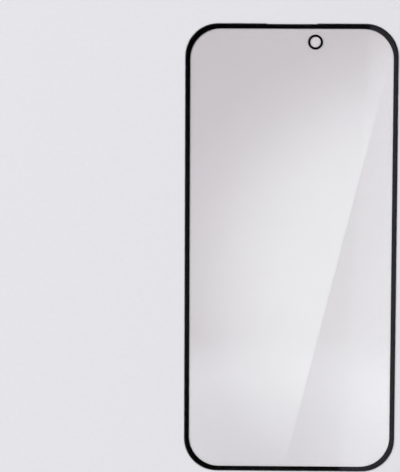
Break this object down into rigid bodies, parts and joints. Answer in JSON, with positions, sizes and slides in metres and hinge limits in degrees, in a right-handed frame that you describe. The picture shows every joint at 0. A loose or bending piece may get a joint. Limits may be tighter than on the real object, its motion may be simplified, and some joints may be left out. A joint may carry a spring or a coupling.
{
  "type": "phone screen protector",
  "caption": "Thin tempered glass screen protector with rounded corners, ground edges, black printed border, camera ring and tinted adhesive film; it covers and guards a phone's display.",
  "frame": {"origin": "middle of the adhesive face, on the surface that the sheet lies on", "axes": "+X across the sheet, towards the camera ring's side as seen from the front; +Y along the sheet, towards the earpiece end; +Z out of the front face"},
  "size_m": [0.0676, 0.1436, 0.0005],
  "materials": {
    "tempered_glass": "clear, polished, with a ground front edge",
    "black_ink": "opaque screen print behind the glass",
    "tinted_film": "light grey tinted film with a clear adhesive coat"
  },
  "bodies": {
    "root": {"cover_glass": "tempered_glass", "border_print": "black_ink", "camera_ring_print": "black_ink", "tint_film": "tinted_film"}
  },
  "joints": []
}
